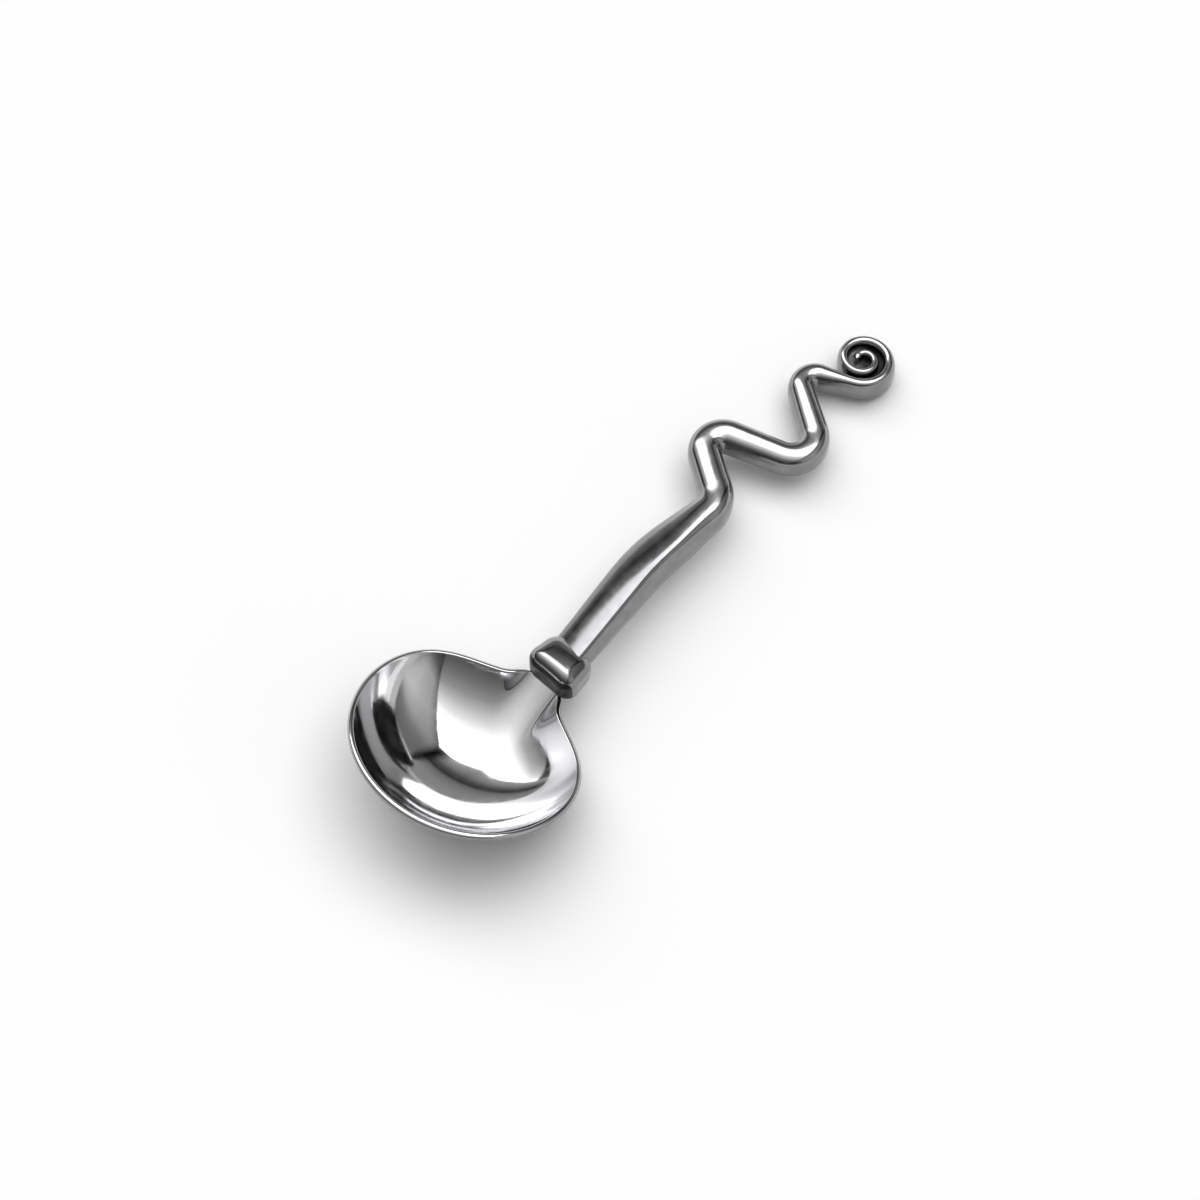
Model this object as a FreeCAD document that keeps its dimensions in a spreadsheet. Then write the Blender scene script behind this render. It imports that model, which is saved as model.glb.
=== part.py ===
import FreeCAD, Part

import math
import os
import types

import Sketcher
from FreeCAD import Placement, Rotation, Vector

# A sugar ladle cast in one piece: a round bowl, a square collar, and a handle
# that starts as a leaf-shaped stem, runs in a wave and closes in a scroll.
# It lies as on a table: +Z up, +X from the bowl towards the scroll, +Y to the
# left, with the origin where the underside of the bowl touches the table.
# Lengths are in millimetres, angles in degrees.

SIZES = [
    # The bowl, in its own rim plane
    ("bowl_half_width", 24.6),
    ("bowl_half_length", 24.7),
    ("bowl_depth", 15.2),
    ("bowl_wall", 1.5),
    ("bowl_pitch", 21.0),
    ("rim_roll", 0.75),
    ("lip_round", 0.25),
    ("waist_inset", 3.6),
    ("waist_bearing", 28.7),
    ("waist_spread", 20.5),
    ("neck_rise", 3.6),
    ("neck_bearing", 16.5),
    # The collar, where the bowl meets the handle
    ("collar_length", 9.4),
    ("collar_front_width", 12.6),
    ("collar_back_width", 10.4),
    ("collar_height", 9.4),
    ("collar_round", 2.4),
    ("collar_set_back", 2.6),
    ("collar_shift", -0.9),
    ("collar_lift", 2.6),
    # The plan of the handle, from the middle of the collar: the corners of
    # the line that it follows, and the radius of the bend at each corner
    ("sway_reach", 29.0),
    ("sway_side", 3.3),
    ("sway_bend", 60.0),
    ("stem_reach", 49.3),
    ("stem_side", 1.6),
    ("stem_bend", 6.0),
    ("crest_reach", 60.4),
    ("crest_side", 18.3),
    ("crest_bend", 4.1),
    ("dip_reach", 70.1),
    ("dip_side", -9.9),
    ("dip_bend", 5.4),
    ("shoulder_reach", 85.2),
    ("shoulder_side", 12.5),
    ("shoulder_bend", 3.3),
    # The scroll
    ("scroll_reach", 96.5),
    ("scroll_side", 3.2),
    ("scroll_radius", 6.7),
    ("scroll_pitch", 3.1),
    ("scroll_turns", 1.69),
    ("scroll_groove", 0.35),
    ("web_radius", 4.9),
    ("web_thickness", 1.9),
    # The rod of the handle at the same places, from the collar to its tip
    ("collar_rod_width", 8.6),
    ("sway_rod_width", 9.9),
    ("stem_rod_width", 7.4),
    ("crest_rod_width", 6.8),
    ("dip_rod_width", 6.2),
    ("shoulder_rod_width", 5.2),
    ("tip_rod_width", 2.1),
    ("collar_rod_height", 5.8),
    ("stem_rod_height", 8.2),
    ("wave_rod_height", 6.4),
    ("scroll_rod_height", 6.2),
    ("tip_rod_height", 5.2),
    # The side view of the handle: its fall at the collar and at the scroll
    ("collar_fall", 2.0),
    ("scroll_fall", 7.6),
]

RIM_POINTS = 60
RIM_PARTS = 4
DISH_SHARES = (1.0, 0.94, 0.84, 0.70, 0.54, 0.37, 0.20, 0.06)
ROUNDING_STEPS = 3
ROUNDING_END = 75.0
SECTION_POINTS = 20
ROD_PARTS = 6
BELLY_SHARE = 0.4
BELLY_SQUARENESS = 0.55
BEND_STEP = 15.0
COIL_STEP = 20.0
TIP_ROUNDING = (0.5, 0.85)


def make_sheet(doc):
    """The driving dimensions, one named cell each."""
    sheet = doc.addObject("Spreadsheet::Sheet", "sizes")
    for row, (name, value) in enumerate(SIZES, start=1):
        sheet.set("A%d" % row, name)
        sheet.set("B%d" % row, str(value))
        sheet.setAlias("B%d" % row, name)
    doc.recompute()
    return sheet


def read_sizes(sheet):
    return types.SimpleNamespace(**{name: float(sheet.get(name)) for name, value in SIZES})


def unit(heading):
    return Vector(math.cos(math.radians(heading)), math.sin(math.radians(heading)), 0)


def closed_curve(points, parts):
    """A smooth closed wire in equal parts; even parameters keep a loft of such wires light."""
    curve = Part.BSplineCurve()
    steps = [float(number) for number in range(len(points) + 1)]
    curve.interpolate(Points=points, PeriodicFlag=True, Parameters=steps)
    stride = len(points) / parts
    return Part.Wire([curve.toShape(part * stride, (part + 1) * stride) for part in range(parts)])


def rim_radius(size, bearing, share):
    """The bowl's outline as a radius at a bearing from its middle; share is 1 at the rim.

    The outline is an ellipse, drawn in at the waist and drawn out to the neck.
    Deeper in the bowl both fade, and the plain ellipse is left.
    """
    turn = math.radians(bearing)
    length = size.bowl_half_length
    width = size.bowl_half_width
    ellipse = length * width / math.hypot(width * math.cos(turn), length * math.sin(turn))
    off_axis = abs(math.remainder(bearing, 360.0))
    waist = math.exp(-0.5 * ((off_axis - size.waist_bearing) / size.waist_spread) ** 2)
    neck = math.exp(-((off_axis / size.neck_bearing) ** 4))
    drawn = size.neck_rise * neck - size.waist_inset * waist
    return share * (ellipse + drawn * share ** 2)


def outline_point(size, bearing, share, inset):
    """A point of the outline, moved square to it by the inset."""
    near = unit(bearing - 0.5) * rim_radius(size, bearing - 0.5, share)
    far = unit(bearing + 0.5) * rim_radius(size, bearing + 0.5, share)
    along = (far - near).normalize()
    inward = Vector(-along.y, along.x, 0)
    return unit(bearing) * rim_radius(size, bearing, share) + inward * inset


def dish_radius(half_width, depth):
    """The radius of the ball that a dish of this half width and depth is part of."""
    return (half_width ** 2 + depth ** 2) / (2 * depth)


def make_dish(size, inset, rounding, side):
    """The solid below one face of the bowl, from the rim plane down.

    A band at the rim rounds the face over: inwards where the side is 1, and
    outwards where it is -1.
    """
    half_width = size.bowl_half_width - inset
    depth = size.bowl_depth - inset
    ball = dish_radius(half_width, depth)
    above = ball - depth
    crest = math.sin(math.radians(ROUNDING_END))
    start = rounding * (crest * ball + side * above) / (ball - side * rounding)
    lean = math.asin((start + above) / ball)
    top = math.sqrt(ball ** 2 - (start + above) ** 2) / half_width
    wall = []
    for share in DISH_SHARES:
        level = math.sqrt(ball ** 2 - (share * top * half_width) ** 2) - above
        wall.append(outline_wire(size, share * top, share * top * inset, level))
    band = []
    for step in range(ROUNDING_STEPS + 1):
        begin = math.radians(ROUNDING_END)
        turn = begin - (begin + side * lean) * step / ROUNDING_STEPS
        move = side * rounding * (math.cos(lean) - math.cos(turn))
        rise = rounding * (math.sin(turn) + side * math.sin(lean))
        band.append(outline_wire(size, top, top * inset + move, start - rise))
    return Part.makeLoft(wall, True, False).fuse(Part.makeLoft(band, True, False))


def outline_wire(size, share, inset, level):
    points = []
    for index in range(RIM_POINTS):
        bearing = 180.0 + 360.0 * index / RIM_POINTS
        points.append(outline_point(size, bearing, share, inset) - Vector(0, 0, level))
    return closed_curve(points, RIM_PARTS)


def bowl_placement(size):
    """The rim plane tipped with its far edge up, and the underside on the table."""
    ball = dish_radius(size.bowl_half_width, size.bowl_depth)
    above = ball - size.bowl_depth
    pitch = math.radians(size.bowl_pitch)
    middle = Vector(-above * math.sin(pitch), 0, ball - above * math.cos(pitch))
    return Placement(middle, Rotation(Vector(0, 1, 0), size.bowl_pitch))


def make_bowl(doc, size):
    """The bowl: an even wall, rolled off outwards at the rim to a fine inner lip."""
    outside = make_dish(size, 0.0, size.rim_roll, 1)
    hollow = make_dish(size, size.bowl_wall, size.lip_round, -1)
    bowl = doc.addObject("Part::Feature", "bowl")
    bowl.Shape = outside.cut(hollow)
    bowl.Placement = bowl_placement(size)
    return bowl


def collar_middle(size):
    """The middle of the collar, set against the neck of the bowl."""
    neck = bowl_placement(size).multVec(Vector(size.bowl_half_length - size.collar_set_back, 0, 0))
    return neck + Vector(size.collar_length / 2, size.collar_shift, size.collar_lift)


def make_collar(doc, size):
    """The collar: a block that widens towards the bowl, with every edge rounded."""
    body = doc.addObject("PartDesign::Body", "collar")
    sketch = body.newObject("Sketcher::SketchObject", "collar_plan")
    planes = [item for item in body.Origin.OriginFeatures if item.Role == "XY_Plane"]
    sketch.AttachmentSupport = (planes[0], "")
    sketch.MapMode = "FlatFace"
    reach = size.collar_length / 2
    front = size.collar_front_width / 2
    back = size.collar_back_width / 2
    corners = [
        Vector(-reach, -front, 0),
        Vector(reach, -back, 0),
        Vector(reach, back, 0),
        Vector(-reach, front, 0),
    ]
    for index in range(4):
        sketch.addGeometry(Part.LineSegment(corners[index], corners[(index + 1) % 4]), False)
    for index in range(4):
        sketch.addConstraint(Sketcher.Constraint("Coincident", index, 2, (index + 1) % 4, 1))
    back_line = 1
    front_line = 3
    sketch.addConstraint(Sketcher.Constraint("Symmetric", back_line, 1, back_line, 2, -1))
    sketch.addConstraint(Sketcher.Constraint("Symmetric", front_line, 1, front_line, 2, -1))
    bind = {
        "front_width": Sketcher.Constraint("DistanceY", front_line, 2, front_line, 1, 2 * front),
        "back_width": Sketcher.Constraint("DistanceY", back_line, 1, back_line, 2, 2 * back),
        "front_reach": Sketcher.Constraint("DistanceX", front_line, 1, -1, 1, reach),
        "back_reach": Sketcher.Constraint("DistanceX", -1, 1, back_line, 1, reach),
    }
    cells = {
        "front_width": "sizes.collar_front_width",
        "back_width": "sizes.collar_back_width",
        "front_reach": "sizes.collar_length / 2",
        "back_reach": "sizes.collar_length / 2",
    }
    for name, constraint in bind.items():
        number = sketch.addConstraint(constraint)
        sketch.renameConstraint(number, name)
        sketch.setExpression("Constraints." + name, cells[name])
    block = body.newObject("PartDesign::Pad", "collar_block")
    block.Profile = sketch
    block.Midplane = True
    block.setExpression("Length", "sizes.collar_height")
    doc.recompute()
    rounding = body.newObject("PartDesign::Fillet", "collar_rounding")
    edges = range(1, len(block.Shape.Edges) + 1)
    rounding.Base = (block, ["Edge%d" % number for number in edges])
    rounding.setExpression("Radius", "sizes.collar_round")
    body.Tip = rounding
    body.Placement = Placement(collar_middle(size), Rotation())
    doc.recompute()
    return body


def heading_of(line):
    return math.degrees(math.atan2(line.y, line.x))


def coil_point(size, bearing):
    """A point of the scroll's centre line, which closes in as its bearing grows."""
    radius = size.scroll_radius - size.scroll_pitch * (bearing - 180.0) / 360.0
    return Vector(size.scroll_reach, size.scroll_side, 0) + unit(bearing) * radius


def coil_heading(size, bearing):
    step = coil_point(size, bearing + 0.01) - coil_point(size, bearing - 0.01)
    return heading_of(step)


def coil_width(size):
    """The width of the rod as the coil starts, so that a groove is left between its turns."""
    taper = 1 / (2 * size.scroll_turns)
    return (size.scroll_pitch - size.scroll_groove - taper * size.tip_rod_width) / (1 - taper)


def coil_start(size, corner):
    """The bearing at which a straight run from the last corner meets the coil smoothly."""
    low, high = 150.0, 260.0
    while high - low > 0.001:
        middle = (low + high) / 2
        run = heading_of(coil_point(size, middle) - corner)
        if math.remainder(coil_heading(size, middle) - run, 360.0) < 0:
            low = middle
        else:
            high = middle
    return (low + high) / 2


def handle_stations(size):
    """Places along the handle as (point, heading, mark).

    A mark counts the corners that the line has passed, so that a width can be
    given at each corner and blended between them.
    """
    corners = [
        Vector(0, 0, 0),
        Vector(size.sway_reach, size.sway_side, 0),
        Vector(size.stem_reach, size.stem_side, 0),
        Vector(size.crest_reach, size.crest_side, 0),
        Vector(size.dip_reach, size.dip_side, 0),
        Vector(size.shoulder_reach, size.shoulder_side, 0),
    ]
    bends = [size.sway_bend, size.stem_bend, size.crest_bend, size.dip_bend, size.shoulder_bend]
    first_bearing = coil_start(size, corners[-1])
    corners.append(coil_point(size, first_bearing))

    arcs = []
    for index, bend in enumerate(bends, start=1):
        arrive = heading_of(corners[index] - corners[index - 1])
        leave = heading_of(corners[index + 1] - corners[index])
        turn = math.remainder(leave - arrive, 360.0)
        tangent = bend * math.tan(math.radians(abs(turn) / 2))
        start = corners[index] - unit(arrive) * tangent
        side = math.copysign(90.0, turn)
        centre = start + unit(arrive + side) * bend
        steps = max(2, round(abs(turn) / BEND_STEP))
        arc = []
        for step in range(steps + 1):
            share = step / steps
            heading = arrive + turn * share
            arc.append((centre - unit(heading + side) * bend, heading, index + 0.4 * (share - 0.5)))
        arcs.append(arc)

    start_heading = heading_of(corners[1])
    stations = [(corners[0], start_heading, 0.0)]
    for arc in arcs:
        before = stations[-1]
        gap = (arc[0][0] - before[0]).Length
        count = int(gap / size.wave_rod_height)
        for step in range(1, count + 1):
            share = step / (count + 1)
            point = before[0] + (arc[0][0] - before[0]) * share
            stations.append((point, arc[0][1], before[2] + (arc[0][2] - before[2]) * share))
        stations.extend(arc)

    sweep = 360.0 * size.scroll_turns
    count = round(sweep / COIL_STEP)
    scroll_mark = len(corners) - 1
    for step in range(count + 1):
        bearing = first_bearing + sweep * step / count
        mark = scroll_mark + step / count
        stations.append((coil_point(size, bearing), coil_heading(size, bearing), mark))
    return stations


def blend(values, mark):
    """A smooth value at a mark, from one value for each whole mark."""
    index = min(int(mark), len(values) - 2)
    share = mark - index

    def slope(at):
        if at == 0 or at == len(values) - 1:
            return 0.0
        before = values[at] - values[at - 1]
        after = values[at + 1] - values[at]
        if before * after <= 0:
            return 0.0
        return 2 * before * after / (before + after)

    rise = values[index + 1] - values[index]
    start = slope(index)
    end = slope(index + 1)
    curve = (start + end - 2 * rise) * share ** 3 + (3 * rise - 2 * start - end) * share ** 2
    return values[index] + start * share + curve


def handle_drop(size, reach):
    """How far the middle of the handle has fallen at a reach from the collar."""
    start = math.tan(math.radians(size.collar_fall))
    end = math.tan(math.radians(size.scroll_fall))
    full = size.scroll_reach + size.scroll_radius
    return start * reach + (end - start) * reach ** 2 / (2 * full)


def section_wire(middle, heading, width, height):
    """A section of the rod: a round crown over a squarer belly."""
    across = unit(heading + 90.0)
    points = []
    for index in range(SECTION_POINTS):
        turn = 2 * math.pi * index / SECTION_POINTS
        sideways = math.cos(turn)
        upward = math.sin(turn)
        if upward < 0:
            sideways = math.copysign(abs(sideways) ** BELLY_SQUARENESS, sideways)
            rise = -BELLY_SHARE * height * abs(upward) ** BELLY_SQUARENESS
        else:
            rise = (1 - BELLY_SHARE) * height * upward
        points.append(middle + across * (sideways * width / 2) + Vector(0, 0, rise))
    return closed_curve(points, 1)


def divide_rod(rod):
    """The same solid with its one long face in short lengths, which mesh and measure well."""
    side = max(rod.Faces, key=face_area)
    ends = [face for face in rod.Faces if not face.isSame(side)]
    low_u, high_u, low_v, high_v = side.Surface.bounds()
    lengths = []
    for part in range(ROD_PARTS):
        surface = side.Surface.copy()
        start = low_v + (high_v - low_v) * part / ROD_PARTS
        end = low_v + (high_v - low_v) * (part + 1) / ROD_PARTS
        surface.segment(low_u, high_u, start, end)
        lengths.append(surface.toShape())
    shell = Part.makeCompound(lengths + ends)
    shell.sewShape()
    solid = Part.makeSolid(shell.Shells[0])
    return solid if solid.Volume > 0 else solid.reversed()


def face_area(face):
    return face.Area


def make_handle(doc, size):
    """The stem, the wave and the scroll, as one rod that changes its section."""
    widths = [
        size.collar_rod_width,
        size.sway_rod_width,
        size.stem_rod_width,
        size.crest_rod_width,
        size.dip_rod_width,
        size.shoulder_rod_width,
        coil_width(size),
        size.tip_rod_width,
    ]
    heights = [
        size.collar_rod_height,
        size.stem_rod_height,
        (size.stem_rod_height + size.wave_rod_height) / 2,
        size.wave_rod_height,
        size.wave_rod_height,
        (size.wave_rod_height + size.scroll_rod_height) / 2,
        size.scroll_rod_height,
        size.tip_rod_height,
    ]
    wires = []
    stations = handle_stations(size)
    for point, heading, mark in stations:
        middle = point - Vector(0, 0, handle_drop(size, point.x))
        wires.append(section_wire(middle, heading, blend(widths, mark), blend(heights, mark)))
    end, heading, mark = stations[-1]
    end = end - Vector(0, 0, handle_drop(size, end.x))
    for share in TIP_ROUNDING:
        ahead = unit(heading) * (share * size.tip_rod_width / 2)
        shrink = math.sqrt(1 - share ** 2)
        wires.append(section_wire(end + ahead, heading, shrink * size.tip_rod_width, size.tip_rod_height))
    handle = doc.addObject("Part::Feature", "handle_rod")
    handle.Shape = divide_rod(Part.makeLoft(wires, True, False))
    return handle


def make_web(doc, size):
    """The thin floor that joins the turns of the scroll low down."""
    web = doc.addObject("Part::Cylinder", "scroll_web")
    web.setExpression("Radius", "sizes.web_radius")
    web.setExpression("Height", "sizes.web_thickness")
    aside = size.scroll_pitch / 4
    middle = Vector(size.scroll_reach + aside, size.scroll_side - aside, 0)
    near = handle_drop(size, middle.x - aside)
    far = handle_drop(size, middle.x + aside)
    fall = math.degrees(math.atan2(far - near, 2 * aside))
    middle.z = -handle_drop(size, middle.x) - BELLY_SHARE * size.scroll_rod_height
    web.Placement = Placement(middle, Rotation(Vector(0, 1, 0), fall))
    doc.recompute()
    return web


def seat_handle(size, pieces):
    """Moves the handle to the collar, with the scroll's underside on the table."""
    start = collar_middle(size)
    lowest = min(piece.Shape.optimalBoundingBox().ZMin for piece in pieces)
    shift = Vector(start.x, start.y, -lowest)
    for piece in pieces:
        piece.Placement = Placement(shift, Rotation()).multiply(piece.Placement)


def check_document(doc):
    for item in doc.Objects:
        failed = [state for state in item.State if state in ("Invalid", "Error")]
        if failed:
            raise RuntimeError("%s is %s" % (item.Name, failed[0]))


doc = FreeCAD.newDocument("sugar_ladle")
sheet = make_sheet(doc)
size = read_sizes(sheet)

bowl = make_bowl(doc, size)
collar = make_collar(doc, size)
handle = make_handle(doc, size)
web = make_web(doc, size)
seat_handle(size, [handle, web])

ladle = doc.addObject("Part::MultiFuse", "sugar_ladle")
ladle.Label = "sugar_ladle"
ladle.Shapes = [bowl, collar, handle, web]
doc.recompute()
check_document(doc)

if ladle.Shape.isNull() or not ladle.Shape.isValid() or len(ladle.Shape.Solids) != 1:
    raise RuntimeError("the ladle is not one valid solid")

os.makedirs("parts", exist_ok=True)
ladle.Shape.exportStep("parts/sugar_ladle.step")
box = ladle.Shape.BoundBox
print("length %.1f, width %.1f, height %.1f mm" % (box.XLength, box.YLength, box.ZLength))
print("volume %.2f cm3" % (ladle.Shape.Volume / 1000))
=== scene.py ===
import math

import bpy
from mathutils import Matrix, Vector


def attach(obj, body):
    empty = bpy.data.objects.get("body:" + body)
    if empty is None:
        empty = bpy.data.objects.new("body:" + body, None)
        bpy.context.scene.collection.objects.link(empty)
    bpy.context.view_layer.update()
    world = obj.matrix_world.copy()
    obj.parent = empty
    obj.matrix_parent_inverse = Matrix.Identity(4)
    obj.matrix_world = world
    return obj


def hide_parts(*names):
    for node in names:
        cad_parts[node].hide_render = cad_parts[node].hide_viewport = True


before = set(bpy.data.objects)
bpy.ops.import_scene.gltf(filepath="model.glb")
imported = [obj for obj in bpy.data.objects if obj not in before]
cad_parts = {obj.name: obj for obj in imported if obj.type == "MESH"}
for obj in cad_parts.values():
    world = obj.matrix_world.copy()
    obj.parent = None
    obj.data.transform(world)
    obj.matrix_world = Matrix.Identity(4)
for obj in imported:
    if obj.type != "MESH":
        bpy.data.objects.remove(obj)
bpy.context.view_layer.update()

# The sizes of the casting, in millimetres and degrees.
MM = 0.001
HALF_WIDTH = 24.6
HALF_LENGTH = 24.7
DEPTH = 15.2
WALL = 1.5
PITCH = 21.0
RIM_ROLL = 0.75
LIP_ROUND = 0.25
WAIST_INSET = 3.6
WAIST_BEARING = 28.7
WAIST_SPREAD = 20.5
NECK_RISE = 3.1
NECK_BEARING = 16.5

# How fast the neck and the waist fade below the rim, as powers of the share of the rim's radius.
NECK_FADE = 6.0
WAIST_FADE = 0.5

COLLAR_LENGTH = 9.4
COLLAR_FRONT = 12.6
COLLAR_BACK = 10.4
COLLAR_HEIGHT = 9.4
COLLAR_ROUND = 3.1
COLLAR_SET_BACK = 2.6
COLLAR_SHIFT = -0.9
COLLAR_LIFT = 2.6
COLLAR_SLOPE = 1.2
COLLAR_CROWN = 0.6

# The handle's path turns at each corner after the first with one of the bend radii, up to
# the scroll. Widths and heights are given at each corner, at the scroll's start and at its tip.
CORNERS = [(0, 0), (29.0, 3.3), (49.3, 1.6), (60.4, 18.3), (70.1, -9.9), (85.2, 12.5)]
BENDS = [60.0, 6.0, 4.1, 5.4, 3.3]
SCROLL_REACH = 96.5
SCROLL_SIDE = 3.2
SCROLL_RADIUS = 6.7
SCROLL_PITCH = 3.1
SCROLL_TURNS = 1.69
SCROLL_GROOVE = 0.35
WEB_RADIUS = 4.9
WEB_THICKNESS = 3.6
TIP_WIDTH = 2.1
ROD_WIDTHS = [8.6, 9.9, 7.4, 6.8, 6.2, 5.2]
ROD_HEIGHTS = [5.8, 8.2, 7.3, 6.4, 6.4, 6.3, 6.2, 5.2]
COLLAR_FALL = 2.0
SCROLL_FALL = 7.6

# The shape of the rod's section. The stem's shape fades into the wave's between two marks.
BELLY_SHARE = 0.4
BELLY_SQUARENESS = 0.55
STEM_LEAN = 0.5
STEM_SQUARENESS = 1.2
WAVE_SQUARENESS = 0.78
STEM_SHAPE_MARKS = (2.2, 1.0)

# The straight edges of the soft box on a plan one unit above the ladle, as the two
# parts of the direction across the edge and its distance from the middle.
FAR_EDGE = (0.957, 0.291, 0.73)
NEAR_EDGE = (0.618, -0.786, 0.70)

# Brightness by place on the plan: of the box by distance from its far edge and by place
# to the left, of the room beyond the far edge, and of the side beyond the near edge.
BOX_GLOW = [
    (-6.0, 0.05), (-4.0, 0.08), (-3.0, 0.13), (-2.4, 0.18), (-2.0, 0.24),
    (-1.6, 0.36), (-1.3, 0.60), (-1.0, 1.00), (-0.72, 1.6), (-0.55, 3.35),
]
BOX_FADE = [(0.4, 1.0), (1.6, 0.8), (2.5, 0.65), (2.75, 0.06)]
ROOM = [(0.0, 0.42), (0.3, 0.25), (0.55, 0.10), (0.85, 0.04), (1.05, 0.18), (1.5, 0.25), (2.2, 0.30)]
SIDE_RISE = [(0.0, 0.07), (0.1, 0.30), (0.3, 0.46), (1.5, 0.63), (3.0, 0.66)]
SIDE_FALL = [(-4.0, 0.35), (-1.6, 0.9), (-0.6, 1.0), (0.0, 0.75), (0.5, 0.4), (1.0, 0.3), (2.0, 0.25)]

# How dark the metal of each part is, where 0 is fresh polish: wear together with painted shade, and
# how upright a surface is where the painted shade of steep sides begins and where it is full.
COLLAR_WEAR_AND_SHADE = 0.80
STEM_WEAR_AND_SHADE = 0.95
WAVE_WEAR_AND_SHADE = 0.60
STEM_WEAR_AND_SHADE_MARKS = (1.8, 0.8)
SHADE_SLOPES = (0.88, 0.40)

# Where black begins and is full, patina together with painted shade: on the collar by how far a surface
# faces the bowl and faces up, on the rod by height, and along the scroll by mark inside and by turns
# outside.
COLLAR_FACING = (0.25, 0.6)
COLLAR_UPRIGHT = (0.75, 0.35)
GROOVE_HEIGHTS = (0.45, 0.1)
INNER_START = (-0.12, 0.05)
OUTER_START = (0.93, 1.03)
GROOVE_BEARING = -60.0

# The metal's colours where it is polished, where it is worn with painted shade, and where it is black.
POLISHED = ((0.70, 0.70, 0.71), (0.76, 0.76, 0.77))
WORN_AND_SHADED = ((0.21, 0.21, 0.215), (0.25, 0.25, 0.255))
BLACK = (0.025, 0.025, 0.026)

# How finely the surfaces are divided.
BOWL_BEARINGS = 288
WALL_ROWS = 72
ROLL_STEPS = 12
LIP_STEPS = 6
COLLAR_FLAT_STEPS = 6
COLLAR_BEND_STEPS = 9
SECTION_POINTS = 48
WEB_POINTS = 72
TIP_STEPS = 8
RUN_STEP = 0.8
BEND_STEP = 3.0
LEAST_BEND_STEPS = 4
COIL_STEP = 4.0

# The first guess of the wall's lean at the rim, and how often it is worked out again.
FIRST_LEAN = 27.0
LEAN_ROUNDS = 4

# How far the marks run on along one bend of the handle.
BEND_MARKS = 0.4

# The bearings between which the straight run meets the scroll, and how exactly it is found.
COIL_SEARCH = (150.0, 260.0)
COIL_EXACTNESS = 0.001

# The closed shells of the casting, in the order in which they are joined.
SHELLS = ("bowl", "collar", "rod", "web")


def unit(heading):
    return Vector((math.cos(math.radians(heading)), math.sin(math.radians(heading)), 0))


def heading_of(line):
    return math.degrees(math.atan2(line.y, line.x))


def rim_radius(bearing, share):
    """The bowl's outline as a radius at a bearing; share is 1 at the rim."""
    turn = math.radians(bearing)
    ellipse = HALF_LENGTH * HALF_WIDTH
    ellipse /= math.hypot(HALF_WIDTH * math.cos(turn), HALF_LENGTH * math.sin(turn))
    off_axis = math.remainder(bearing, 360.0)
    waist = sum(
        math.exp(-0.5 * ((off_axis - middle) / WAIST_SPREAD) ** 2)
        for middle in (-WAIST_BEARING, WAIST_BEARING)
    )
    neck = math.exp(-((off_axis / NECK_BEARING) ** 4))
    change = NECK_RISE * neck * share ** NECK_FADE - WAIST_INSET * waist * share ** WAIST_FADE
    return share * (ellipse + change)


def inward(bearing, share):
    """The level direction from the outline towards the inside of the bowl."""
    near = unit(bearing - 0.5) * rim_radius(bearing - 0.5, share)
    far = unit(bearing + 0.5) * rim_radius(bearing + 0.5, share)
    along = (far - near).normalized()
    return Vector((-along.y, along.x, 0))


def dish_radius(half_width, depth):
    """The radius of the ball that a dish is cut from."""
    return (half_width ** 2 + depth ** 2) / (2 * depth)


def wall_point(bearing, share, inset):
    """A point of one face of the bowl's wall, in the bowl's own rim plane."""
    half_width = HALF_WIDTH - inset
    depth = DEPTH - inset
    ball = dish_radius(half_width, depth)
    level = math.sqrt(ball ** 2 - (share * half_width) ** 2) - (ball - depth)
    point = unit(bearing) * rim_radius(bearing, share)
    return point + inward(bearing, share) * (share * inset) - Vector((0, 0, level))


def share_at(level, inset):
    """The share of the rim's radius at which a face of the wall is this far below the rim."""
    half_width = HALF_WIDTH - inset
    depth = DEPTH - inset
    ball = dish_radius(half_width, depth)
    return math.sqrt(ball ** 2 - (level + ball - depth) ** 2) / half_width


def wall_side(bearing, inset, rounding, outer):
    """One face of the wall from the middle up, and its rounding at the rim."""
    across = inward(bearing, 1.0)
    side = 1 if outer else -1
    lean = math.radians(FIRST_LEAN)
    for _ in range(LEAN_ROUNDS):
        start = rounding * (1 + side * math.sin(lean))
        top = share_at(start, inset)
        step = wall_point(bearing, top, inset) - wall_point(bearing, top - 0.01, inset)
        lean = math.atan2(-step.dot(across), step.z)
    half_width = HALF_WIDTH - inset
    ball = dish_radius(half_width, DEPTH - inset)
    swing = math.asin(top * half_width / ball)
    points = []
    for row in range(1, WALL_ROWS + 1):
        share = ball * math.sin(swing * row / WALL_ROWS) / half_width
        points.append(wall_point(bearing, share, inset))
    base = points[-1]
    first = -side * lean
    steps = ROLL_STEPS if outer else LIP_STEPS
    for step in range(1, steps + 1):
        turn = first + (math.pi / 2 - first) * step / steps
        move = side * rounding * (math.cos(first) - math.cos(turn))
        rise = rounding * (math.sin(turn) - math.sin(first))
        points.append(base + across * move + Vector((0, 0, rise)))
    return points


def bowl_matrix():
    """The place of the bowl's rim plane, pitched so that the bowl rests on the floor."""
    pitch = math.radians(PITCH)
    ball = dish_radius(HALF_WIDTH, DEPTH)
    above = ball - DEPTH
    middle = Vector((-above * math.sin(pitch), 0, ball - above * math.cos(pitch)))
    return Matrix.Translation(middle) @ Matrix.Rotation(pitch, 4, "Y")


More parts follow.
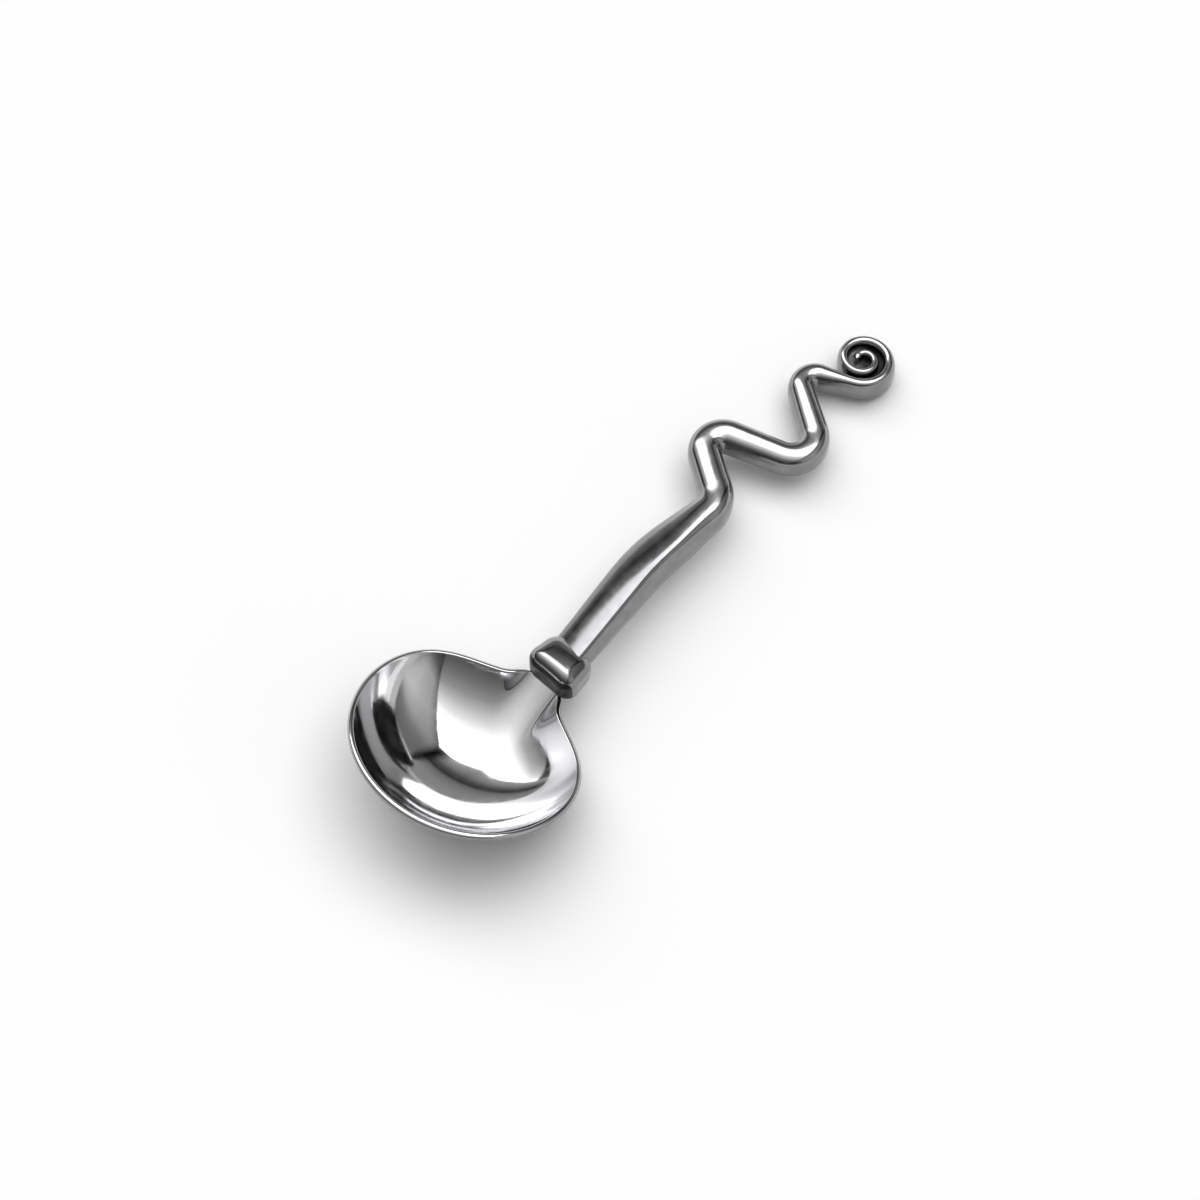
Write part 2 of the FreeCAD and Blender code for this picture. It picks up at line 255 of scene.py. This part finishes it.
def make_bowl():
    """The bowl as (points, faces): both faces of the wall and the rolled rim, closed."""
    place = bowl_matrix()
    points = [place @ Vector((0, 0, WALL - DEPTH)), place @ Vector((0, 0, -DEPTH))]
    for index in range(BOWL_BEARINGS):
        bearing = 360.0 * index / BOWL_BEARINGS
        inner = wall_side(bearing, WALL, LIP_ROUND, False)
        outer = wall_side(bearing, 0.0, RIM_ROLL, True)
        points.extend(place @ point for point in inner + outer[::-1])
    rows = (len(points) - 2) // BOWL_BEARINGS
    faces = []
    for index in range(BOWL_BEARINGS):
        here = 2 + index * rows
        there = 2 + (index + 1) % BOWL_BEARINGS * rows
        faces.append((0, here, there))
        for row in range(rows - 1):
            faces.append((here + row, here + row + 1, there + row + 1, there + row))
        faces.append((here + rows - 1, 1, there + rows - 1))
    return points, faces


def collar_middle():
    neck = bowl_matrix() @ Vector((HALF_LENGTH - COLLAR_SET_BACK, 0, 0))
    return neck + Vector((COLLAR_LENGTH / 2, COLLAR_SHIFT, COLLAR_LIFT))


def grid_line(half, rounding):
    """Places along one side of the collar, close together where its edges are rounded."""
    core = half - rounding
    flat_steps = range(-COLLAR_FLAT_STEPS, COLLAR_FLAT_STEPS + 1)
    flat = [core * step / COLLAR_FLAT_STEPS for step in flat_steps]
    bend = []
    for step in range(1, COLLAR_BEND_STEPS + 1):
        bend.append(core + rounding * math.tan(math.pi / 4 * step / COLLAR_BEND_STEPS))
    return [-place for place in reversed(bend)] + flat + bend


def collar_point(place, halves):
    """A point of a plain block, moved to the collar's rounded and tapered shape."""
    core = Vector()
    for number in range(3):
        limit = halves[number] - COLLAR_ROUND
        core[number] = max(-limit, min(limit, place[number]))
    place = core + (place - core).normalized() * COLLAR_ROUND
    slant = (COLLAR_BACK - COLLAR_FRONT) / (COLLAR_BACK + COLLAR_FRONT)
    along = place.x / halves[0]
    beside = place.y / halves[1]
    place.y *= 1 + slant * along
    if place.z > 0:
        fall = COLLAR_SLOPE * along + COLLAR_CROWN * (along ** 2 + beside ** 2)
        place.z -= fall * place.z / halves[2]
    return place


def make_collar():
    """The collar as (points, faces): a block wider at the bowl, rounded on every edge."""
    halves = [COLLAR_LENGTH / 2, (COLLAR_FRONT + COLLAR_BACK) / 4, COLLAR_HEIGHT / 2]
    lines = [grid_line(half, COLLAR_ROUND) for half in halves]
    middle = collar_middle()
    numbers = {}
    faces = []
    for axis in range(3):
        one = (axis + 1) % 3
        two = (axis + 2) % 3
        for sign in (-1, 1):
            grid = []
            for first in lines[one]:
                for second in lines[two]:
                    place = Vector((0, 0, 0))
                    place[axis] = sign * halves[axis]
                    place[one] = first
                    place[two] = second
                    point = middle + collar_point(place, halves)
                    spot = tuple(round(value, 4) for value in point)
                    grid.append(numbers.setdefault(spot, len(numbers)))
            count = len(lines[two])
            for row in range(len(lines[one]) - 1):
                for column in range(count - 1):
                    corner = row * count + column
                    face = [grid[corner + step] for step in (0, count, count + 1, 1)]
                    faces.append(tuple(face if sign > 0 else face[::-1]))
    return [Vector(spot) for spot in numbers], faces


def coil_point(bearing):
    """A point of the scroll's spiral, which winds in as the bearing grows."""
    radius = SCROLL_RADIUS - SCROLL_PITCH * (bearing - 180.0) / 360.0
    return Vector((SCROLL_REACH, SCROLL_SIDE, 0)) + unit(bearing) * radius


def coil_heading(bearing):
    return heading_of(coil_point(bearing + 0.01) - coil_point(bearing - 0.01))


def coil_width():
    """The rod's width where the scroll begins, for which its turns leave the groove free."""
    taper = 1 / (2 * SCROLL_TURNS)
    return (SCROLL_PITCH - SCROLL_GROOVE - taper * TIP_WIDTH) / (1 - taper)


def coil_start(corner):
    """The bearing at which a straight run from the last corner meets the spiral smoothly."""
    low, high = COIL_SEARCH
    while high - low > COIL_EXACTNESS:
        middle = (low + high) / 2
        run = heading_of(coil_point(middle) - corner)
        if math.remainder(coil_heading(middle) - run, 360.0) < 0:
            low = middle
        else:
            high = middle
    return (low + high) / 2


def handle_stations():
    """Places along the handle as (point, heading, mark); a mark counts the corners passed."""
    corners = [Vector((reach, side, 0)) for reach, side in CORNERS]
    first_bearing = coil_start(corners[-1])
    corners.append(coil_point(first_bearing))
    arcs = []
    for index, bend in enumerate(BENDS, start=1):
        arrive = heading_of(corners[index] - corners[index - 1])
        leave = heading_of(corners[index + 1] - corners[index])
        turn = math.remainder(leave - arrive, 360.0)
        tangent = bend * math.tan(math.radians(abs(turn) / 2))
        start = corners[index] - unit(arrive) * tangent
        side = math.copysign(90.0, turn)
        centre = start + unit(arrive + side) * bend
        steps = max(LEAST_BEND_STEPS, round(abs(turn) / BEND_STEP))
        arc = []
        for step in range(steps + 1):
            share = step / steps
            heading = arrive + turn * share
            mark = index + BEND_MARKS * (share - 0.5)
            arc.append((centre - unit(heading + side) * bend, heading, mark))
        arcs.append(arc)
    stations = [(corners[0], heading_of(corners[1]), 0.0)]
    for arc in arcs:
        before = stations[-1]
        count = int((arc[0][0] - before[0]).length / RUN_STEP)
        for step in range(1, count + 1):
            share = step / (count + 1)
            point = before[0] + (arc[0][0] - before[0]) * share
            stations.append((point, arc[0][1], before[2] + (arc[0][2] - before[2]) * share))
        stations.extend(arc)
    sweep = 360.0 * SCROLL_TURNS
    count = round(sweep / COIL_STEP)
    before = stations[-1]
    run = coil_point(first_bearing) - before[0]
    steps = int(run.length / RUN_STEP)
    for step in range(1, steps + 1):
        share = step / (steps + 1)
        mark = before[2] + (len(corners) - 1 - before[2]) * share
        stations.append((before[0] + run * share, before[1], mark))
    for step in range(count + 1):
        bearing = first_bearing + sweep * step / count
        mark = len(corners) - 1 + step / count
        stations.append((coil_point(bearing), coil_heading(bearing), mark))
    return stations


def blend(values, mark):
    """A smooth value at a mark, from one value for each whole mark."""
    index = min(int(mark), len(values) - 2)
    share = mark - index
    slopes = []
    for at in (index, index + 1):
        slope = 0.0
        if 0 < at < len(values) - 1:
            before = values[at] - values[at - 1]
            after = values[at + 1] - values[at]
            if before * after > 0:
                slope = 2 * before * after / (before + after)
        slopes.append(slope)
    rise = values[index + 1] - values[index]
    curve = (slopes[0] + slopes[1] - 2 * rise) * share ** 3
    curve += (3 * rise - 2 * slopes[0] - slopes[1]) * share ** 2
    return values[index] + slopes[0] * share + curve


def handle_drop(reach):
    """How far the handle has come down at a reach from the collar."""
    start = math.tan(math.radians(COLLAR_FALL))
    end = math.tan(math.radians(SCROLL_FALL))
    full = SCROLL_REACH + SCROLL_RADIUS
    return start * reach + (end - start) * reach ** 2 / (2 * full)


def section(middle, heading, width, height, stem=0.0):
    """A section of the rod: a crown over a squarer belly.

    The crown is peaked and leans to the right on the stem, and is flatter elsewhere.
    """
    square = WAVE_SQUARENESS + (STEM_SQUARENESS - WAVE_SQUARENESS) * stem
    across = unit(heading + 90.0)
    points = []
    for index in range(SECTION_POINTS):
        turn = 2 * math.pi * index / SECTION_POINTS
        sideways = math.cos(turn)
        upward = math.sin(turn)
        if upward < 0:
            sideways = math.copysign(abs(sideways) ** BELLY_SQUARENESS, sideways)
            rise = -BELLY_SHARE * height * abs(upward) ** BELLY_SQUARENESS
        else:
            sideways = math.copysign(abs(sideways) ** square, sideways)
            sideways -= STEM_LEAN * stem * upward ** 3
            rise = (1 - BELLY_SHARE) * height * upward ** square
        points.append(middle + across * (sideways * width / 2) + Vector((0, 0, rise)))
    return points


def make_handle():
    """The handle as (points, faces), from inside the collar to the tip of the scroll."""
    widths = ROD_WIDTHS + [coil_width(), TIP_WIDTH]
    stations = handle_stations()
    points = []
    for point, heading, mark in stations:
        middle = point - Vector((0, 0, handle_drop(point.x)))
        stem = smooth(mark, *STEM_SHAPE_MARKS)
        points.extend(section(middle, heading, blend(widths, mark), blend(ROD_HEIGHTS, mark), stem))
    end, heading, _ = stations[-1]
    end = end - Vector((0, 0, handle_drop(end.x)))
    for step in range(1, TIP_STEPS):
        turn = math.pi / 2 * step / TIP_STEPS
        ahead = unit(heading) * (math.sin(turn) * TIP_WIDTH / 2)
        width = math.cos(turn) * TIP_WIDTH
        points.extend(section(end + ahead, heading, width, ROD_HEIGHTS[-1]))
    rings = len(points) // SECTION_POINTS
    faces = [tuple(reversed(range(SECTION_POINTS)))]
    for ring in range(rings - 1):
        for index in range(SECTION_POINTS):
            here = ring * SECTION_POINTS + index
            beside = ring * SECTION_POINTS + (index + 1) % SECTION_POINTS
            faces.append((here, beside, beside + SECTION_POINTS, here + SECTION_POINTS))
    last = (rings - 1) * SECTION_POINTS
    faces.append(tuple(last + index for index in range(SECTION_POINTS)))
    return points, faces


def make_web():
    """The floor between the turns of the scroll as (points, faces)."""
    aside = SCROLL_PITCH / 4
    middle = Vector((SCROLL_REACH + aside, SCROLL_SIDE - aside, 0))
    fall = math.atan2(handle_drop(middle.x + aside) - handle_drop(middle.x - aside), 2 * aside)
    middle.z = -handle_drop(middle.x) - BELLY_SHARE * ROD_HEIGHTS[-2]
    place = Matrix.Translation(middle) @ Matrix.Rotation(fall, 4, "Y")
    count = WEB_POINTS
    points = []
    for level in (0.0, WEB_THICKNESS):
        for index in range(count):
            edge = unit(360.0 * index / count) * WEB_RADIUS
            points.append(place @ (edge + Vector((0, 0, level))))
    points.append(place @ Vector((0, 0, WEB_THICKNESS)))
    faces = [tuple(reversed(range(count)))]
    for index in range(count):
        beside = (index + 1) % count
        faces.append((index, beside, beside + count, index + count))
        faces.append((index + count, beside + count, 2 * count))
    return points, faces


def smooth(value, low, high):
    """A smooth share that is 0 at low and 1 at high; low may be the larger one."""
    share = max(0.0, min(1.0, (value - low) / (high - low)))
    return share * share * (3 - 2 * share)


def groove_shade(bearing):
    """How black the scroll's groove is at a bearing: most on the side away from the wave."""
    return max(0.0, 0.4 + 0.6 * math.cos(math.radians(bearing - GROOVE_BEARING)))


def station_of(stations, number):
    """The station at which a point of the handle lies."""
    return stations[min(number // SECTION_POINTS, len(stations) - 1)]


def scroll_patina_and_shade(stations, number):
    """How dark a point of the handle is: black on the low flanks between the scroll's turns, patina
    together with painted shade.
    """
    _, heading, mark = station_of(stations, number)
    turn = 2 * math.pi * (number % SECTION_POINTS) / SECTION_POINTS
    # Painted shade with patina: the low flanks between the turns are made black, most on the side away
    # from the wave.
    low = smooth(math.sin(turn), *GROOVE_HEIGHTS) * groove_shade(heading - 90.0)
    into_coil = mark - len(CORNERS)
    if math.cos(turn) > 0:
        return low * smooth(into_coil, *INNER_START)
    return low * smooth(into_coil * SCROLL_TURNS, *OUTER_START)


def make_shells():
    """The closed shells of the casting as (points, faces), in the order of their names."""
    handle = make_handle()
    web = make_web()
    lowest = min(point.z for point in handle[0] + web[0])
    start = collar_middle()
    shift = Vector((start.x, start.y, -lowest))
    shells = [make_bowl(), make_collar()]
    for points, faces in (handle, web):
        shells.append(([point + shift for point in points], faces))
    return shells


def surface_state(shell, number, normal, rows, stations):
    """How dark a point of one shell is: wear with painted shade, and black of patina with painted
    shade.
    """
    if shell == "bowl":
        if number == 0 or (number > 1 and (number - 2) % rows < WALL_ROWS + LIP_STEPS):
            return 0.0, 0.0
        tone, black = 0.0, 0.0
    elif shell == "collar":
        tone = COLLAR_WEAR_AND_SHADE
        # Painted shade with patina: the collar's face toward the bowl, where it doesn't face up, is
        # made black.
        black = smooth(-normal.x, *COLLAR_FACING) * smooth(normal.z, *COLLAR_UPRIGHT)
    elif shell == "rod":
        mark = station_of(stations, number)[2]
        # The stem's metal is made darker than the wave's: wear together with painted shade.
        tone = WAVE_WEAR_AND_SHADE + (STEM_WEAR_AND_SHADE - WAVE_WEAR_AND_SHADE) * smooth(mark, *STEM_WEAR_AND_SHADE_MARKS)
        black = scroll_patina_and_shade(stations, number)
    else:
        tone = COLLAR_WEAR_AND_SHADE
        # Painted shade with patina on the groove's floor, darkest on the side away from the wave.
        black = 0.3 + 0.7 * groove_shade(360.0 * number / WEB_POINTS)
    # Steep sides, such as the rod's flanks and the bowl's outer wall, are darkened fully: painted shade
    # and painted reflection.
    return tone + (1 - tone) * smooth(normal.z, *SHADE_SLOPES), black


def make_ladle():
    """The whole casting as one object, with its wear and its patina, both with painted shade, as
    attributes.
    """
    shells = make_shells()
    all_points = []
    all_faces = []
    origins = []
    for shell, (points, faces) in zip(SHELLS, shells):
        base = len(all_points)
        all_points.extend(point * MM for point in points)
        all_faces.extend(tuple(base + number for number in face) for face in faces)
        origins.extend((shell, number) for number in range(len(points)))
    mesh = bpy.data.meshes.new("ladle")
    mesh.from_pydata(all_points, [], all_faces)
    mesh.shade_smooth()
    mesh.set_sharp_from_angle(angle=math.radians(40))

    rows = (len(shells[0][0]) - 2) // BOWL_BEARINGS
    stations = handle_stations()
    # Wear with painted shade, and patina with painted shade, kept on each point.
    wear_and_shade = mesh.attributes.new("wear_and_shade", "FLOAT", "POINT")
    patina_and_shade = mesh.attributes.new("patina_and_shade", "FLOAT", "POINT")
    for vertex, (shell, number) in zip(mesh.vertices, origins):
        tone, black = surface_state(shell, number, vertex.normal, rows, stations)
        wear_and_shade.data[vertex.index].value = tone
        patina_and_shade.data[vertex.index].value = black
    ladle = bpy.data.objects.new("ladle", mesh)
    bpy.context.scene.collection.objects.link(ladle)
    return ladle


class Nodes:
    """Short calls for the nodes of one material or world."""

    def __init__(self, tree):
        self.tree = tree

    def add(self, kind, **settings):
        node = self.tree.nodes.new(kind)
        for name, value in settings.items():
            setattr(node, name, value)
        return node

    def put(self, socket, value):
        if isinstance(value, bpy.types.NodeSocket):
            self.tree.links.new(value, socket)
        else:
            socket.default_value = value

    def math(self, operation, *values):
        node = self.add("ShaderNodeMath", operation=operation)
        for socket, value in zip(node.inputs, values):
            self.put(socket, value)
        return node.outputs[0]

    def ramp(self, value, low, high, start=0.0, end=1.0):
        node = self.add("ShaderNodeMapRange", interpolation_type="SMOOTHSTEP")
        for name, number in (("From Min", low), ("From Max", high), ("To Min", start), ("To Max", end)):
            node.inputs[name].default_value = number
        self.put(node.inputs["Value"], value)
        return node.outputs["Result"]

    def curve(self, value, points):
        """A level that runs in straight lines through (place, level) points."""
        low = points[0][0]
        high = points[-1][0]
        share = self.add("ShaderNodeMapRange")
        share.inputs["From Min"].default_value = low
        share.inputs["From Max"].default_value = high
        self.put(share.inputs["Value"], value)
        node = self.add("ShaderNodeValToRGB")
        self.put(node.inputs["Fac"], share.outputs["Result"])
        elements = node.color_ramp.elements
        for number, (place, level) in enumerate(points):
            spot = (place - low) / (high - low)
            if 0 < number < len(points) - 1:
                element = elements.new(spot)
            else:
                element = elements[0 if number == 0 else -1]
            element.color = (level, level, level, 1)
        return node.outputs["Color"]

    def noise(self, place, scale, detail):
        node = self.add("ShaderNodeTexNoise")
        node.inputs["Scale"].default_value = scale
        node.inputs["Detail"].default_value = detail
        self.put(node.inputs["Vector"], place)
        return node.outputs["Fac"]

    def blend(self, share, first, second):
        """A colour between two colours."""
        node = self.add("ShaderNodeMix", data_type="RGBA")
        self.put(node.inputs["Factor"], share)
        for socket, colour in ((node.inputs[6], first), (node.inputs[7], second)):
            self.put(socket, colour if isinstance(colour, bpy.types.NodeSocket) else (*colour, 1))
        return node.outputs[2]

    def pick(self, switch, off, on):
        """One of two levels, by a switch between 0 and 1."""
        node = self.add("ShaderNodeMix")
        self.put(node.inputs["Factor"], switch)
        self.put(node.inputs[2], off)
        self.put(node.inputs[3], on)
        return node.outputs[0]

    def across(self, horizontal, vertical, one, two, offset):
        """The signed distance of a place on the plan from a straight line."""
        first = self.math("MULTIPLY", horizontal, one)
        return self.math("ADD", self.math("MULTIPLY_ADD", vertical, two, first), -offset)


def make_metal():
    """Hand-polished cast metal: bright in the bowl, darker on the handle, collar and steep sides where
    wear and painted shade lie, black in the grooves and on the collar's face toward the bowl where
    patina and painted shade lie.
    """
    material = bpy.data.materials.new("cast_metal")
    material.use_nodes = True
    nodes = Nodes(material.node_tree)
    shader = material.node_tree.nodes["Principled BSDF"]
    shader.inputs["Metallic"].default_value = 1.0
    place = nodes.add("ShaderNodeTexCoord").outputs["Object"]
    wear_and_shade = nodes.add("ShaderNodeAttribute", attribute_name="wear_and_shade").outputs["Fac"]
    patina_and_shade = nodes.add("ShaderNodeAttribute", attribute_name="patina_and_shade").outputs["Fac"]
    tone = nodes.noise(place, 90.0, 4.0)
    grain = nodes.noise(place, 420.0, 6.0)
    ripple = nodes.noise(place, 1500.0, 3.0)
    # Black where patina and painted shade lie, broken up by noise.
    black = nodes.ramp(nodes.math("MULTIPLY_ADD", tone, 0.6, patina_and_shade), 0.55, 0.95)
    polished = nodes.blend(nodes.ramp(tone, 0.3, 0.7), *POLISHED)
    worn_and_shaded = nodes.blend(nodes.ramp(grain, 0.3, 0.7), *WORN_AND_SHADED)
    # Darker metal where wear and painted shade lie.
    metal = nodes.blend(wear_and_shade, polished, worn_and_shaded)
    nodes.put(shader.inputs["Base Color"], nodes.blend(black, metal, BLACK))
    gloss = nodes.ramp(grain, 0.3, 0.75, 0.05, 0.12)
    gloss = nodes.math("ADD", gloss, nodes.math("MULTIPLY", wear_and_shade, 0.08))
    nodes.put(shader.inputs["Roughness"], nodes.math("MULTIPLY_ADD", black, 0.2, gloss))
    bump = nodes.add("ShaderNodeBump")
    bump.inputs["Strength"].default_value = 0.3
    bump.inputs["Distance"].default_value = 0.00003
    rough = nodes.math("MULTIPLY", ripple, nodes.math("MULTIPLY_ADD", black, 3.0, 0.1))
    nodes.put(bump.inputs["Height"], nodes.math("ADD", grain, rough))
    nodes.put(shader.inputs["Normal"], bump.outputs["Normal"])
    return material


def make_floor():
    mesh = bpy.data.meshes.new("floor")
    reach = 12.0
    corners = [(-reach, -reach, 0), (reach, -reach, 0), (reach, reach, 0), (-reach, reach, 0)]
    mesh.from_pydata(corners, [], [(0, 1, 2, 3)])
    floor = bpy.data.objects.new("floor", mesh)
    floor.location.z = -0.0001
    bpy.context.scene.collection.objects.link(floor)
    material = bpy.data.materials.new("white_paper")
    material.use_nodes = True
    shader = material.node_tree.nodes["Principled BSDF"]
    shader.inputs["Base Color"].default_value = (0.97, 0.97, 0.97, 1)
    shader.inputs["Roughness"].default_value = 0.9
    shader.inputs["Specular IOR Level"].default_value = 0.1
    mesh.materials.append(material)
    return floor


def make_studio():
    """A large soft box overhead in a dim room with a grey backdrop round its foot.

    The light is drawn on a level plan above the ladle. The box has two straight
    edges there and fades away from the far one. Beyond that edge the room is dark,
    and beyond the near one it is grey, with a thin dark line at the box.
    """
    world = bpy.data.worlds.new("studio")
    world.use_nodes = True
    bpy.context.scene.world = world
    nodes = Nodes(world.node_tree)
    direction = nodes.add("ShaderNodeTexCoord").outputs["Generated"]
    split = nodes.add("ShaderNodeSeparateXYZ")
    nodes.put(split.inputs[0], direction)
    rise = nodes.math("MAXIMUM", split.outputs["Z"], 0.03)
    ahead = nodes.math("DIVIDE", split.outputs["X"], rise)
    aside = nodes.math("DIVIDE", split.outputs["Y"], rise)
    far = nodes.across(ahead, aside, *FAR_EDGE)
    near = nodes.across(ahead, aside, *NEAR_EDGE)

    spread = nodes.math("SUBTRACT", far, nodes.curve(near, [(-2.2, 0.55), (-1.2, 0.0)]))
    glow = nodes.math("MULTIPLY", nodes.curve(spread, BOX_GLOW), nodes.curve(aside, BOX_FADE))
    room = nodes.curve(far, ROOM)
    overhead = nodes.pick(nodes.ramp(far, -0.01, 0.03), glow, room)
    side = nodes.math("MULTIPLY", nodes.curve(near, SIDE_RISE), nodes.curve(far, SIDE_FALL))
    upright = nodes.math("POWER", split.outputs["Z"], 2.0)
    flat = nodes.math("SQRT", nodes.math("SUBTRACT", 1.0, upright))
    turned = nodes.math("DIVIDE", split.outputs["X"], nodes.math("MAXIMUM", flat, 0.05))
    side = nodes.math("MULTIPLY", side, nodes.ramp(turned, -0.5, -0.15, 0.3, 1.0))
    crease = nodes.math("SUBTRACT", nodes.math("MULTIPLY_ADD", near, -1.15, far), 0.1)
    beside = nodes.pick(nodes.ramp(crease, -0.02, 0.02), side, room)
    light = nodes.pick(nodes.ramp(near, 0.0, 0.03), overhead, beside)
    shade = nodes.ramp(nodes.math("ABSOLUTE", crease), 0.0, 0.3)
    corner = nodes.math("MULTIPLY", nodes.ramp(near, -0.35, -0.05), nodes.ramp(far, 0.0, 0.03))
    light = nodes.math("MULTIPLY", light, nodes.pick(corner, 1.0, shade))
    backdrop = nodes.ramp(turned, -0.6, 0.0, 0.3, 0.6)
    light = nodes.pick(nodes.ramp(split.outputs["Z"], 0.14, 0.10), light, backdrop)
    background = world.node_tree.nodes["Background"]
    nodes.put(background.inputs["Color"], light)


def make_camera():
    """A long lens that looks down at the ladle from the bowl's end."""
    camera = bpy.data.cameras.new("camera")
    camera.lens = 100.0
    camera.sensor_width = 36.0
    camera.clip_start = 0.01
    holder = bpy.data.objects.new("camera", camera)
    right = Vector((0.6759, -0.7370, 0.0))
    up = Vector((0.6624, 0.6075, 0.4384))
    back = Vector((-0.3231, -0.2963, 0.8988))
    turn = Matrix((right, up, back)).transposed().to_4x4()
    holder.matrix_world = Matrix.Translation(Vector((-0.17983, -0.19539, 0.61334))) @ turn
    bpy.context.scene.collection.objects.link(holder)
    bpy.context.scene.camera = holder


ladle = make_ladle()
ladle.data.materials.append(make_metal())
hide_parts("sugar_ladle")
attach(ladle, "root")

make_floor()
make_studio()
make_camera()
bpy.context.scene.view_settings.view_transform = "Standard"

bpy.context.view_layer.update()
